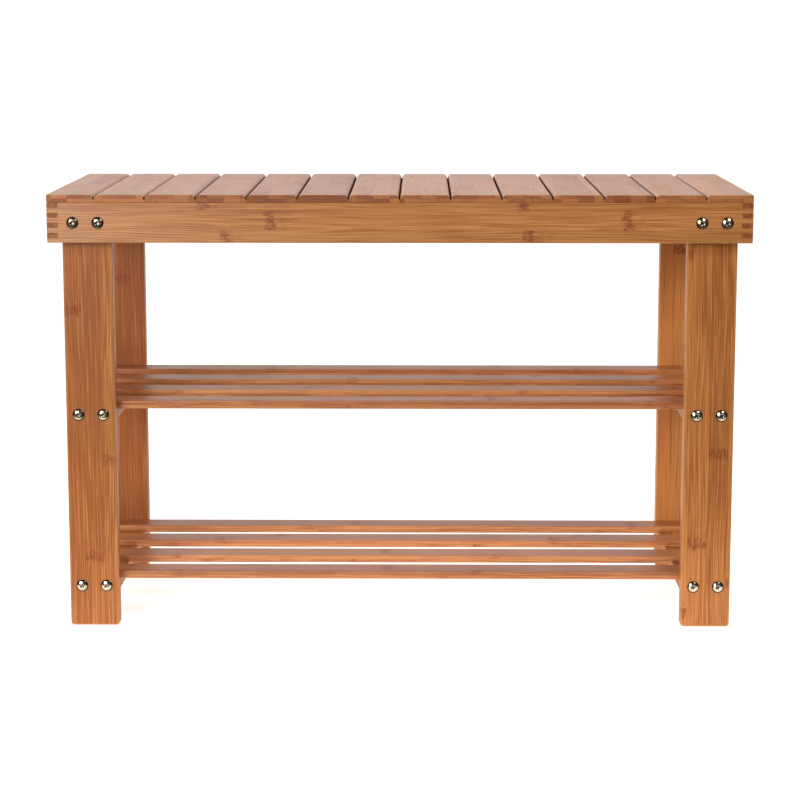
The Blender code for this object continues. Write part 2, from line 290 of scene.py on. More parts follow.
def add_node(tree, kind, inputs=None, **settings):
    """Add a shader node with its settings, and set or link its inputs by name or number.

    An input that is given a node is linked to that node's first output.
    """
    node = tree.nodes.new("ShaderNode" + kind)
    for name, value in settings.items():
        setattr(node, name, value)
    for name, value in (inputs or {}).items():
        if isinstance(value, bpy.types.Node):
            value = value.outputs[0]
        if isinstance(value, bpy.types.NodeSocket):
            tree.links.new(value, node.inputs[name])
        else:
            node.inputs[name].default_value = value
    return node


def calculate(tree, operation, *values, **settings):
    """Add a Math node that works with these values, which are numbers or nodes."""
    return add_node(tree, "Math", dict(enumerate(values)), operation=operation, **settings)


def ramp(tree, value, near, far, start=0.0, end=1.0, **settings):
    """Go from start to end while a value goes from near to far."""
    reach = {"Value": value, "From Min": near, "From Max": far, "To Min": start, "To Max": end}
    return add_node(tree, "MapRange", reach, **settings)


def new_material(name):
    """Return an empty node material and its tree."""
    material = bpy.data.materials.new(name)
    material.use_nodes = True
    material.node_tree.nodes.clear()
    return material, material.node_tree


def strip_cells(tree, strip_width):
    """Split a board into its pressed strips.

    Returns the place in the board, its separate axes, a colour of three chances that is the
    same all over one strip, how near the glue line is, and the tones of the board's face and
    of its end grain.
    """
    place = add_node(tree, "TexCoord").outputs["Object"]
    axes = add_node(tree, "SeparateXYZ", {0: place})
    lamination = add_node(
        tree, "Attribute", attribute_type="OBJECT", attribute_name="lamination")
    cut = add_node(tree, "SeparateXYZ", {0: lamination.outputs["Vector"]})
    character = add_node(tree, "Attribute", attribute_type="OBJECT", attribute_name="character")
    own = add_node(tree, "SeparateXYZ", {0: character.outputs["Vector"]})
    strip = calculate(tree, "MULTIPLY_ADD", axes.outputs[1], 1 / strip_width, cut.outputs[0])
    layer = calculate(tree, "MULTIPLY_ADD", axes.outputs[2], cut.outputs[1], cut.outputs[2])
    strip_number = calculate(tree, "FLOOR", strip)
    layer_number = calculate(tree, "FLOOR", layer)
    cell = add_node(tree, "CombineXYZ", {0: strip_number, 1: layer_number, 2: own.outputs[0]})
    chances = add_node(
        tree, "TexWhiteNoise", {"Vector": cell}, noise_dimensions="3D").outputs["Color"]
    # PINGPONG with a scale of 0.5 gives the distance to the nearest whole number.
    strip_edge = calculate(tree, "PINGPONG", strip, 0.5)
    layer_edge = calculate(tree, "PINGPONG", layer, 0.5)
    strip_line = ramp(tree, strip_edge, *STRIP_GLUE, 1.0, 0.0)
    layer_line = ramp(tree, layer_edge, *LAYER_GLUE, 1.0, 0.0)
    seam = calculate(tree, "MAXIMUM", strip_line, layer_line)
    return place, axes, chances, seam, own.outputs[1], own.outputs[2]


def grain_noise(tree, place, start, length, width, detail, roughness=0.55):
    """Draw noise that is stretched along the grain to a length and a width in metres."""
    spread = (1 / length, 1 / width, 1 / width)
    stretched = add_node(
        tree, "VectorMath", {0: place, 1: spread, 2: start}, operation="MULTIPLY_ADD")
    return add_node(tree, "TexNoise", {
        "Vector": stretched, "Scale": 1.0, "Detail": detail,
        "Roughness": roughness}).outputs["Fac"]


def knuckle_marks(tree, look, place, along, chances, start):
    """Draw the ragged dark band where a cane's knuckle was planed through, and its dashes."""
    parts = add_node(tree, "SeparateColor", {0: chances})
    spacing = calculate(
        tree, "MULTIPLY_ADD", parts.outputs[1], KNUCKLE_SPREAD, look.knuckle_spacing)
    turns = calculate(tree, "DIVIDE", along, spacing)
    phase = calculate(tree, "ADD", turns, parts.outputs[2])
    part = calculate(tree, "FRACT", phase)
    centred = calculate(tree, "SUBTRACT", part, 0.5)
    distance = calculate(tree, "MULTIPLY", centred, spacing)
    ragged = grain_noise(tree, place, start, *KNUCKLE_EDGE, 2.0)
    away = calculate(tree, "MULTIPLY_ADD", ragged, look.knuckle_length, distance)
    middle = look.knuckle_length / 2
    off = calculate(tree, "SUBTRACT", away, middle)
    size = calculate(tree, "ABSOLUTE", off)
    # The band itself, and the tail of dashes that fades away on one side of it.
    soft = {"interpolation_type": "SMOOTHSTEP"}
    band = ramp(tree, size, KNUCKLE_CORE, middle, 1.0, 0.0, **soft)
    fade = ramp(tree, off, KNUCKLE_CORE, 2.4 * look.knuckle_length, 1.0, 0.0, **soft)
    after = ramp(tree, off, -KNUCKLE_LEAD, 0.0)
    trail = calculate(tree, "MULTIPLY", fade, after)
    spots = grain_noise(tree, place, start, *KNUCKLE_DASH, 1.0)
    dashes = ramp(tree, spots, 0.44, 0.58)
    solid = calculate(tree, "MULTIPLY_ADD", dashes, 0.68, 0.32)
    core = calculate(tree, "MULTIPLY", band, solid)
    tail = calculate(tree, "MULTIPLY", trail, dashes)
    return calculate(tree, "MULTIPLY_ADD", tail, 0.45, core, use_clamp=True)


def bamboo_material(name, look, colours, strip_width, gloss, lots, knots, ends=0.2,
                    soak=1.0, grain=1.6, coat=0.5, slits=False):
    """Steamed bamboo, pressed from planed strips, sanded and sprayed with satin lacquer.

    It shows strips of slightly different browns with a thin glue line between them, fine
    straight fibres, a ragged dark band at each knuckle, and darker dotted end grain. The
    lacquer gives a soft, slightly uneven gloss, and the eased edges get a paler painted
    highlight.

    colours names the pair of settings for the palest and darkest fibres, gloss is the
    lacquer's roughness, lots says how much one strip differs from the next, knots how strong
    the knuckles are, ends how much the strips differ in the end grain, soak how dark the
    lacquer made the end grain, grain how much the fibres differ, coat how much the lacquer
    mirrors, and slits whether the walls of slits in the board get painted shade.
    """
    pale, dark = (getattr(look, f"{colours}_{end}") for end in ("pale", "dark"))
    material, tree = new_material(name)
    place, axes, chances, seam, tone, end_tone = strip_cells(tree, strip_width)
    start = add_node(tree, "VectorMath", {0: chances, "Scale": 90.0}, operation="SCALE")
    drift = grain_noise(tree, place, start, *DRIFT, 1.0)
    bend = grain_noise(tree, place, start, *BEND, 0.0)
    sideways = calculate(tree, "MULTIPLY_ADD", bend, BEND_REACH, -BEND_REACH / 2)
    shift = add_node(tree, "CombineXYZ", {1: sideways})
    grown = add_node(tree, "VectorMath", {0: place, 1: shift}, operation="ADD")
    streaks = grain_noise(tree, grown, start, STREAK_LENGTH, look.streak_width, 2.0)
    fibres = grain_noise(tree, grown, start, FIBRE_LENGTH, look.fibre_width, 2.0)
    pores = grain_noise(tree, grown, start, PORE_LENGTH, look.fibre_width, 0.0)
    dashes = ramp(tree, pores, 0.52, 0.64)
    knuckle = knuckle_marks(tree, look, place, axes.outputs[0], chances, start)

    # One number from 0, dark, to 1, pale, gathers the strip, the drift and the fibres.
    lot, redness, _ = add_node(tree, "SeparateColor", {0: chances}).outputs
    end = add_node(tree, "Attribute", attribute_name="end_grain").outputs["Fac"]
    end_lot = calculate(tree, "MULTIPLY_ADD", lot, ends, -ends / 2)
    end_value = calculate(tree, "ADD", end_lot, end_tone)
    shares = ((lot, lots), (drift, 0.6), (streaks, 0.5 * grain), (fibres, 1.6 * grain))
    middle = 0.55 - sum(weight for _, weight in shares) / 2
    value = calculate(tree, "ADD", tone, middle)
    for part, weight in (*shares, (end_value, end), (dashes, -0.16 * grain)):
        value = calculate(tree, "MULTIPLY_ADD", part, weight, value)
    colour = add_node(tree, "Mix", {0: value, 6: (*dark, 1), 7: (*pale, 1)},
                      data_type="RGBA", clamp_factor=True).outputs[2]

    # Strips from near the bark came out of the steam a little redder.
    ruddy = calculate(tree, "MULTIPLY", redness, drift)
    colour = add_node(tree, "Mix", {0: ruddy, 6: colour, 7: (1.06, 0.86, 0.76, 1)},
                      data_type="RGBA", blend_type="MULTIPLY").outputs[2]

    # The knuckle bands and glue lines are the bamboo's own marks; the eased edges are mixed
    # towards the pale colour as a painted highlight.
    eased = add_node(tree, "Attribute", attribute_name="eased").outputs["Fac"]
    stains_and_painted_light = [(knuckle, knots, look.knuckle), (seam, 0.35, look.knuckle), (eased, 0.35, pale)]
    shine = coat
    if slits:
        # Painted shade darkens the slits' walls towards their bottom, and the slits are left
        # without the lacquer's shine.
        milled = add_node(tree, "Attribute", attribute_name="milled").outputs["Fac"]
        stains_and_painted_light.append((milled, 0.92, look.slit_shade))
        shine = calculate(tree, "MULTIPLY_ADD", milled, -coat, coat, use_clamp=True)
    for mark, strength, mark_colour in stains_and_painted_light:
        share = calculate(tree, "MULTIPLY", mark, strength)
        colour = add_node(
            tree, "Mix", {0: share, 6: colour, 7: (*mark_colour, 1)}, data_type="RGBA").outputs[2]

    # End grain: the lacquer soaks in, and every fibre bundle shows as a dot.
    bundles = add_node(tree, "TexVoronoi", {"Vector": place, "Scale": 1 / BUNDLE_SPACING},
                       feature="F1").outputs["Distance"]
    dots = ramp(tree, bundles, 0.18, 0.42, 0.55, 0.0)
    tint = [part ** soak for part in (0.74, 0.62, 0.46)]
    soaked = add_node(tree, "Mix", {0: 1.0, 6: colour, 7: (*tint, 1)},
                      data_type="RGBA", blend_type="MULTIPLY").outputs[2]
    dotted = add_node(tree, "Mix", {0: dots, 6: soaked, 7: (*dark, 1)},
                      data_type="RGBA", blend_type="MULTIPLY").outputs[2]
    colour = add_node(tree, "Mix", {0: end, 6: colour, 7: dotted}, data_type="RGBA").outputs[2]

    smear = add_node(
        tree, "TexNoise",
        {"Vector": place, "Scale": 1 / SMEAR_SIZE, "Detail": 2.0}).outputs["Fac"]
    rough = gloss - 0.07
    for part, weight in ((smear, 0.14), (streaks, 0.10), (knuckle, 0.08), (end, 0.16)):
        rough = calculate(tree, "MULTIPLY_ADD", part, weight, rough)
    relief = fibres
    for part, weight in ((streaks, 0.5), (seam, -1.2), (knuckle, 0.7)):
        relief = calculate(tree, "MULTIPLY_ADD", part, weight, relief)
    surface = add_node(tree, "Bump", {"Strength": 0.35, "Distance": 0.00012, "Height": relief})
    shader = add_node(tree, "BsdfPrincipled", {
        "Base Color": colour, "Roughness": rough, "Normal": surface, "IOR": 1.5,
        "Specular IOR Level": shine})
    add_node(tree, "OutputMaterial", {"Surface": shader.outputs[0]})
    return material


def nickel_material(look):
    """Steel screw, cold headed and plated with bright nickel.

    It mirrors the studio with a slight haze. Fine rings are left by the turned die, the
    socket is rougher and darkened with painted shade, a dark ring of painted shade and painted
    reflection lies round the foot of the head, and every screw is a little warmer or cooler.
    """
    material, tree = new_material("bright_nickel_plated_steel")
    place = add_node(tree, "TexCoord").outputs["Object"]
    axes = add_node(tree, "SeparateXYZ", {0: place})
    flat = add_node(tree, "CombineXYZ", {0: axes.outputs[0], 1: axes.outputs[2]})
    radius = add_node(tree, "VectorMath", {0: flat}, operation="LENGTH").outputs["Value"]
    rings = add_node(tree, "TexNoise", {"W": radius, "Scale": 1 / RING_SPACING, "Detail": 2.0},
                     noise_dimensions="1D").outputs["Fac"]
    haze = add_node(
        tree, "TexNoise",
        {"Vector": place, "Scale": 1 / HAZE_SIZE, "Detail": 3.0}).outputs["Fac"]
    warmth = add_node(
        tree, "Attribute", attribute_type="OBJECT", attribute_name="warmth").outputs["Fac"]
    # Painted shade: the socket's colour is darkened, and it is made rougher.
    socket_shade_and_dulling = ramp(tree, radius, look.socket / 2, look.socket / 1.7, 0.75, 0.0)
    # Painted shade and painted reflection: a dark ring round the foot of the head, where the
    # dome's rim would mirror the dark wood and its shade.
    half_head = size_of(SCREWS[0]).x / 2
    foot = ramp(tree, radius, 0.72 * half_head, 0.83 * half_head, 0.0, 0.94)
    colour = (*look.plating, 1)
    for share, code in ((warmth, "#D9C690"), (socket_shade_and_dulling, "#332C26"), (foot, "#2C1B12")):
        colour = add_node(tree, "Mix", {0: share, 6: colour, 7: (*from_hex(code), 1)},
                          data_type="RGBA").outputs[2]
    rough = calculate(tree, "MULTIPLY_ADD", haze, 0.12, 0.12)
    rough = calculate(tree, "MULTIPLY_ADD", socket_shade_and_dulling, 0.15, rough)
    surface = add_node(tree, "Bump", {"Strength": 0.12, "Distance": 0.00004, "Height": rings})
    shader = add_node(
        tree, "BsdfPrincipled",
        {"Base Color": colour, "Metallic": 1.0, "Roughness": rough, "Normal": surface})
    add_node(tree, "OutputMaterial", {"Surface": shader.outputs[0]})
    return material


def floor_material(settings):
    """White acrylic studio table, lit from below, so that shadows on it stay faint."""
    material, tree = new_material("white_acrylic_floor")
    place = add_node(tree, "TexCoord").outputs["Object"]
    cloud = add_node(
        tree, "TexNoise", {"Vector": place, "Scale": 1 / 0.4, "Detail": 2.0}).outputs["Fac"]
    rough = calculate(tree, "MULTIPLY_ADD", cloud, 0.1, 0.55)
    shader = add_node(tree, "BsdfPrincipled", {
        "Base Color": (*settings.floor_colour, 1), "Roughness": rough,
        "Emission Color": (1, 1, 1, 1), "Emission Strength": settings.floor_glow})
    add_node(tree, "OutputMaterial", {"Surface": shader.outputs[0]})
    return material


# ---- Boards ----


def add_object(name, data):
    """Put an object with this data into the scene; a bmesh becomes a mesh first."""
    if isinstance(data, bmesh.types.BMesh):
        shape, data = data, bpy.data.meshes.new(name)
        shape.to_mesh(data)
        shape.free()
    item = bpy.data.objects.new(name, data)
    bpy.context.scene.collection.objects.link(item)
    return item


def board_axes(kind):
    """Return the directions along the grain, across the face and through a board."""
    along, across = (Vector(axis) for axis in BOARDS[kind][:2])
    return along, across, along.cross(across)


def board_size(node, kind):
    """Return a board's length, width and thickness from its CAD box."""
    size = size_of(node)
    return [abs(size.dot(axis)) for axis in board_axes(kind)]


def push_out(outline, plane, depth):
    """Return a solid that is an outline pushed out by half its depth to both sides.

    The plane names the two axes of the outline's points: "xy", "xz" or "yz".
    """
    order = {"xy": lambda a, b, c: (a, b, c),
             "xz": lambda a, b, c: (a, c, b),
             "yz": lambda a, b, c: (c, a, b)}[plane]
    shape = bmesh.new()
    face = shape.faces.new([shape.verts.new(order(a, b, -depth / 2)) for a, b in outline])
    pushed = bmesh.ops.extrude_face_region(shape, geom=[face])
    moved = [item for item in pushed["geom"] if isinstance(item, bmesh.types.BMVert)]
    bmesh.ops.translate(shape, verts=moved, vec=order(0, 0, depth))
    bmesh.ops.recalc_face_normals(shape, faces=shape.faces)
    return shape


def round_edges(shape, radius, steps, wanted=None):
    """Round a solid's square edges and mark the new faces as eased."""
    marks = shape.faces.layers.float.get("eased") or shape.faces.layers.float.new("eased")
    square = math.radians(SQUARE_EDGE)
    edges = [edge for edge in shape.edges
             if edge.calc_face_angle(0.0) > square and (not wanted or wanted(edge))]
    made = bmesh.ops.bevel(
        shape, geom=edges, offset=radius, offset_type="OFFSET", segments=steps, profile=0.5,
        affect="EDGES", clamp_overlap=True)
    for face in made["faces"]:
        face[marks] = 1.0


def mark_end_grain(shape):
    """Mark how far each face looks along the grain, where the fibres are cut across."""
    shape.normal_update()
    marks = shape.faces.layers.float.new("end_grain")
    for face in shape.faces:
        share = (abs(face.normal.x) - END_GRAIN_FROM) / END_GRAIN_OVER
        face[marks] = max(0.0, min(1.0, share))


def mark_slit_shade(shape, width, thickness, sizes):
    """Mark how deep each corner of a slit's walls lies, for the painted shade down the slits."""
    marks = shape.loops.layers.float.new("milled")
    for face in shape.faces:
        outside = abs(face.calc_center_median().y) > width / 2 - sizes.slat_lip / 4
        if outside or abs(face.normal.x) > 0.5 or face.normal.z < -0.5:
            continue
        for corner in face.loops:
            depth = thickness / 2 - corner.vert.co.z
            slit_shade = (depth / sizes.chamfer_depth - SLIT_SHADE_FROM) / SLIT_SHADE_OVER
            corner[marks] = max(0.0, min(1.0, slit_shade))


def settle_strips(chance, width, strip_width):
    """Choose where the strips' seams lie, so that none runs along a board's edge."""
    while True:
        shift = chance.uniform(0, 1)
        ends = [(side * width / 2 / strip_width + shift) % 1 for side in (-1, 1)]
        if all(SEAM_MARGIN < end < 1 - SEAM_MARGIN for end in ends):
            return shift


def finish_board(node, kind, shape, material, strip_width, screws=()):
    """Turn a board's solid into a piece that stands for its CAD node, and bore it."""
    mark_end_grain(shape)
    piece = add_object(node + "_bamboo", shape)
    piece.data.materials.append(material)
    turn = Matrix(board_axes(kind)).transposed().to_4x4()
    low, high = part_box(node)
    piece.matrix_world = Matrix.Translation((low + high) / 2) @ turn

    chance = random.Random(node)
    _, width, thickness = board_size(node, kind)
    layers = BOARDS[kind][2]
    piece["lamination"] = [settle_strips(
        chance, width,
        strip_width), LAYER_SQUEEZE * layers / thickness, layers / 2 + LAYER_START]
    slight = chance.uniform(-0.03, 0.03)
    tone, end_tone = TONES.get(node, (None, 0.0))
    piece["character"] = [float(
        chance.randrange(1, 400)), slight if tone is None else tone, end_tone]
    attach(piece, "root")
    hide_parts(node)

    if screws:
        bore(piece, screws)
    # The rounded edges are shaded smoothly, and the flat faces stay flat.
    piece.data.shade_smooth()
    piece.data.set_sharp_from_angle(angle=math.radians(40))
    flat = piece.modifiers.new("flat faces", "WEIGHTED_NORMAL")
    flat.keep_sharp = True
    flat.weight = 80


def bore(piece, screws):
    """Cut the holes of the screws that go through or into a board."""
    sizes = bpy.context.scene.bench_screws
    shape = bmesh.new()
    radius = sizes.shank / 2 + sizes.clearance
    for screw in screws:
        low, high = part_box(screw)
        middle = (low + high) / 2
        inwards = -1 if middle.y > 0 else 1
        start = low.y if inwards > 0 else high.y
        tip = high.y if inwards > 0 else low.y
        end = tip + inwards * sizes.clearance
        bmesh.ops.create_cone(
            shape, cap_ends=True, segments=sizes.steps // 2, radius1=radius, radius2=radius,
            depth=abs(end - start),
            matrix=Matrix.Translation((middle.x, (start + end) / 2, middle.z))
            @ Matrix.Rotation(math.pi / 2, 4, "X"))
    drill = add_object("drill", shape)
    cut = piece.modifiers.new("holes", "BOOLEAN")
    cut.operation = "DIFFERENCE"
    cut.solver = "EXACT"
    cut.object = drill
    bpy.context.view_layer.update()
    bored = bpy.data.meshes.new_from_object(
        piece.evaluated_get(bpy.context.evaluated_depsgraph_get()))
    piece.modifiers.remove(cut)
    piece.data = bored
    bpy.data.objects.remove(drill)


def comb_outline(length, width, depth, sizes, starts):
    """Return an apron's broad face with the fingers at its ends.

    starts is True where the board has the lowest finger of a corner.
    """
    pitch = width / sizes.finger_count
    slack = sizes.joint_gap / 2
    side = []
    for index in range(sizes.finger_count):
        own = (index % 2 == 0) == starts
        reach = length / 2 if own else length / 2 - depth - sizes.joint_gap
        ease = -slack if own else slack
        bottom = -width / 2 if index == 0 else index * pitch - ease - width / 2
        top = width / 2 if index == sizes.finger_count - 1 else (
            (index + 1) * pitch + ease - width / 2)
        side += [(reach, bottom), (reach, top)]
    return side + [(-along, across) for along, across in reversed(side)]


def leg_outline(length, width, radius):
    """Return a leg's broad face, with the two corners of its foot rounded."""
    half = width / 2
    foot = -length / 2
    side = []
    for step in range(FOOT_STEPS + 1):
        angle = math.pi / 2 * step / FOOT_STEPS
        side.append((foot + radius * (1 - math.cos(angle)),
                     half - radius + radius * math.sin(angle)))
    side.append((length / 2, half))
    return side + [(along, -across) for along, across in reversed(side)]


def seat_slat_side(half, thickness, sizes, joined):
    """Return one side of a seat slat's end face, from the bottom up.

    A side with a neighbour has a lip that meets the neighbour's, then a slit, and above that
    a round-over that starts upright and ends level with the seat.
    """
    top = thickness / 2
    if not joined:
        return [(half, -top), (half, top)]
    wall = half - sizes.slat_lip
    ledge = top - sizes.slit_depth
    reach = half + sizes.slat_squeeze
    side = [(reach, -top), (reach, ledge), (wall, ledge)]
    steps = 2 * sizes.edge_steps
    for step in range(steps + 1):
        angle = math.pi / 2 * step / steps
        # The power 1.35 gives a curve between a flat chamfer (2) and a quarter round (1).
        side.append((wall - sizes.chamfer_width * (1 - math.cos(angle) ** 1.35),
                     top - sizes.chamfer_depth * (1 - math.sin(angle) ** 1.35)))
    return side


def seat_slat_outline(width, thickness, sizes, first, last):
    """Return a seat slat's end face, shaped along each edge that has a neighbour."""
    right = seat_slat_side(width / 2, thickness, sizes, not first)
    left = seat_slat_side(width / 2, thickness, sizes, not last)
    return right + [(-across, up) for across, up in reversed(left)]


def rail_outline(level, side, gap):
    """Return an end rail's long edge, housed out of its top for each shelf slat."""
    node = f"{level}_shelf_{side}_rail"
    low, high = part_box(node)
    middle = (low + high) / 2
    half, top = (high.y - low.y) / 2, (high.z - low.z) / 2
    outline = [(half, -top)]
    slats = sorted(name for name in SHELF_SLATS if name.startswith(level))
    for slat in reversed(slats):
        slat_low, slat_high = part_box(slat)
        floor = slat_low.z - gap - middle.z
        near = slat_low.y - gap - middle.y
        far = slat_high.y + gap - middle.y
        if far < half:
            outline += [(far, top), (far, floor)]
        else:
            outline += [(half, floor)]
        if near > -half:
            outline += [(near, floor), (near, top)]
        else:
            outline += [(-half, floor)]
    return outline + [(-half, -top)]


class BENCH_OT_aprons(bpy.types.Operator):
    """Build the four finger-jointed boards of the seat frame"""

    bl_idname = "bench.aprons"
    bl_label = "Seat frame"

    def execute(self, context):
        look = context.scene.bench_bamboo
        bamboo = bamboo_material(
            "frame_bamboo_satin_lacquer", look, "frame", look.strip_width, gloss=0.28, lots=0.40,
            knots=0.80, soak=1.5)
        for name in FACES:
            self.make(context, f"{name}_apron", "long_apron", "left_apron", True, bamboo)
        for name in SIDES:
            self.make(context, f"{name}_apron", "side_apron", "front_apron", False, bamboo)
        return {"FINISHED"}

    def make(self, context, node, kind, neighbour, starts, bamboo):
        """Make one apron; its fingers are as long as its neighbour is thick."""
        sizes = context.scene.bench_boards
        length, width, thickness = board_size(node, kind)
        depth = min(size_of(neighbour))
        outline = comb_outline(length, width, depth, sizes, starts)
        shape = push_out(outline, "xy", thickness)

        def is_long_edge(edge):
            run = edge.verts[0].co - edge.verts[1].co
            return abs(run.x) > length / 2

        round_edges(shape, sizes.apron_edge, sizes.edge_steps, is_long_edge)
        round_edges(shape, sizes.finger_edge, 1)
        screws = [name for name in SCREWS
                  if name.startswith(node.split("_")[0]) and "_apron_screw_" in name]
        finish_board(node, kind, shape, bamboo,
                     context.scene.bench_bamboo.strip_width, screws)


class BENCH_OT_seat_slats(bpy.types.Operator):
    """Lay the seat slats across the frame, chamfered along their gaps"""

    bl_idname = "bench.seat_slats"
    bl_label = "Seat slats"

    def execute(self, context):
        sizes, look = context.scene.bench_boards, context.scene.bench_bamboo
        bamboo = bamboo_material(
            "seat_bamboo_satin_lacquer", look, "seat", look.seat_strip_width, gloss=0.30,
            lots=0.40, knots=0.10, ends=0.85, grain=1.1, slits=True)
        for node in SEAT_SLATS:
            length, width, thickness = board_size(node, "seat_slat")
            outline = seat_slat_outline(
                width, thickness, sizes, node == SEAT_SLATS[0], node == SEAT_SLATS[-1])
            shape = push_out(outline, "yz", length)
            upper = thickness / 2 - sizes.chamfer_depth - 1e-6

            def is_above_slit(edge):
                return all(corner.co.z > upper for corner in edge.verts)

            round_edges(shape, sizes.slat_edge, sizes.edge_steps, is_above_slit)
            shape.normal_update()
            mark_slit_shade(shape, width, thickness, sizes)
            finish_board(node, "seat_slat", shape, bamboo, look.seat_strip_width)
        return {"FINISHED"}


class BENCH_OT_legs(bpy.types.Operator):
    """Stand the four board legs inside the frame and bore them"""

    bl_idname = "bench.legs"
    bl_label = "Legs"

    def execute(self, context):
        sizes, look = context.scene.bench_boards, context.scene.bench_bamboo
        bamboo = bamboo_material("leg_bamboo_satin_lacquer", look, "leg", look.strip_width,
                                 gloss=0.40, lots=0.50, knots=0.70, coat=0.25)
        for face in FACES:
            for side in SIDES:
                node = f"{face}_{side}_leg"
                length, width, thickness = board_size(node, "leg")
                outline = leg_outline(length, width, sizes.foot_corner)
                shape = push_out(outline, "xy", thickness)
                round_edges(shape, sizes.leg_edge, sizes.edge_steps)
                screws = [name for name in SCREWS if name.startswith(f"{face}_{side}_")]
                finish_board(node, "leg", shape, bamboo, look.strip_width, screws)
        return {"FINISHED"}


class BENCH_OT_shelf_rails(bpy.types.Operator):
    """Make the end rails that carry the shelf slats"""

    bl_idname = "bench.shelf_rails"
    bl_label = "Shelf end rails"

    def execute(self, context):
        sizes, look = context.scene.bench_boards, context.scene.bench_bamboo
        bamboo = bamboo_material("rail_bamboo_satin_lacquer", look, "leg", look.strip_width,
                                 gloss=0.45, lots=0.45, knots=0.50, coat=0.15)
        for level in LEVELS:
            for side in SIDES:
                node = f"{level}_shelf_{side}_rail"
                _, width, _ = board_size(node, "shelf_rail")
                outline = rail_outline(level, side, sizes.housing_gap)
                shape = push_out(outline, "xz", width)
                round_edges(shape, sizes.rail_edge, 2)
                screws = [name for name in SCREWS if f"_{side}_{level}_rail_screw_" in name]
                finish_board(node, "shelf_rail", shape, bamboo,
                             look.strip_width, screws)
        return {"FINISHED"}


class BENCH_OT_shelf_slats(bpy.types.Operator):
    """Lay four long slats on each pair of end rails"""

    bl_idname = "bench.shelf_slats"
    bl_label = "Shelf slats"

    def execute(self, context):
        sizes, look = context.scene.bench_boards, context.scene.bench_bamboo
        bamboo = bamboo_material("shelf_bamboo_satin_lacquer", look, "shelf",
                                 look.strip_width, gloss=0.34, lots=0.75, knots=0.50)
        for node in SHELF_SLATS:
            length, width, thickness = board_size(node, "shelf_slat")
            half, top = width / 2, thickness / 2
            outline = [(-half, -top), (half, -top), (half, top), (-half, top)]
            shape = push_out(outline, "yz", length)
            round_edges(shape, sizes.shelf_edge, sizes.edge_steps)
            finish_board(node, "shelf_slat", shape, bamboo, look.strip_width)
        return {"FINISHED"}


# ---- Screws ----


def screw_mesh(name, length, head, sizes):
    """Turn a domed screw along +Y, the underside of its head at y = 0.

    Each ring is a radius, a place along the screw, and how hexagonal it is, from 0 to 1.
    """
    half, shank, rim = head / 2, sizes.shank / 2, sizes.rim
    flat = sizes.socket / 2
    mouth = flat / math.cos(math.pi / 6) + 0.0003
    # The dome is a cap of a sphere, and a small round turns its foot down to the board.
    foot = 2 * math.atan((sizes.head_height - rim) / (half - rim))
    sphere = (half - rim) / math.sin(foot) + rim
    rings = [(shank, length - sizes.point, 0), (shank, 0.0, 0)]
    for step in range(RIM_STEPS + 1):
        angle = math.pi / 2 + (foot - math.pi / 2) * step / RIM_STEPS
        rings.append((half - rim + rim * math.sin(angle), -rim * math.cos(angle), 0))
    start = rings[-1][0]
    for step in range(1, DOME_STEPS + 1):
        radius = start + (mouth - start) * step / DOME_STEPS
        along = sphere - sizes.head_height - math.sqrt(sphere ** 2 - radius ** 2)
        rings.append((radius, along, 0))
    lip = rings[-1][1]
    floor = lip + sizes.socket_depth
    rings += [(mouth - 0.0001, lip + 0.00008, 0.3), (flat, lip + 0.0003, 1), (flat, floor, 1),
              (flat / 2, floor + 0.0003, 0.3)]
    shape = bmesh.new()
    previous = None
    tip = shape.verts.new((0, length, 0))
    sector = math.tau / 6
    for radius, along, hexagonal in rings:
        ring = []
        for step in range(sizes.steps):
            angle = math.tau * step / sizes.steps
            corner = radius / math.cos(angle % sector - sector / 2)
            reach = radius + (corner - radius) * hexagonal
            ring.append(
                shape.verts.new((reach * math.cos(angle), along, reach * math.sin(angle))))
        for step in range(sizes.steps):
            after = (step + 1) % sizes.steps
            corners = (tip, ring[after], ring[step]) if previous is None else (
                previous[step], previous[after], ring[after], ring[step])
            shape.faces.new(corners)
        previous = ring
    shape.faces.new(previous)
    bmesh.ops.recalc_face_normals(shape, faces=shape.faces)
    mesh = bpy.data.meshes.new(name)
    shape.to_mesh(mesh)
    shape.free()
    mesh.shade_smooth()
    mesh.set_sharp_from_angle(angle=math.radians(38))
    return mesh


class BENCH_OT_screws(bpy.types.Operator):
    """Turn the domed hexagon-socket screws and drive them into their joints"""

    bl_idname = "bench.screws"
    bl_label = "Screws"

    def execute(self, context):
        sizes = context.scene.bench_screws
        nickel = nickel_material(sizes)
        meshes = {}
        for node in SCREWS:
            low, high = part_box(node)
            size = high - low
            length = round(size.y - sizes.head_height, 5)
            if length not in meshes:
                meshes[length] = screw_mesh(f"screw_{length * 1000:.0f}", length, size.x, sizes)
                meshes[length].materials.append(nickel)
            front = low.y + high.y < 0
            seat = low.y + sizes.head_height if front else high.y - sizes.head_height
            chance = random.Random(node)
            piece = add_object(node + "_nickel", meshes[length])
            # Each screw stopped at its own angle when it was driven home.
            spin = Matrix.Rotation(chance.uniform(0, math.tau / 6), 4, "Y")
            facing = Matrix.Rotation(0.0 if front else math.pi, 4, "Z")
            middle = ((low.x + high.x) / 2, seat, (low.z + high.z) / 2)
            piece.matrix_world = Matrix.Translation(middle) @ facing @ spin
            piece["warmth"] = chance.uniform(0.0, 0.6)
            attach(piece, "root")
            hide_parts(node)
        return {"FINISHED"}


# ---- Stage ----


def soft_box(name, power, place, target, size, tint):
    """Hang a rectangular soft light that faces a point."""
    light = bpy.data.lights.new(name, "AREA")
    light.shape = "RECTANGLE"
    light.size, light.size_y = size
    light.energy = power
    light.color = tint
    lamp = add_object(name, light)
    lamp.location = place
    lamp.rotation_euler = (Vector(target) - Vector(place)).to_track_quat("-Z", "Y").to_euler()
    lamp.visible_camera = False
    return lamp


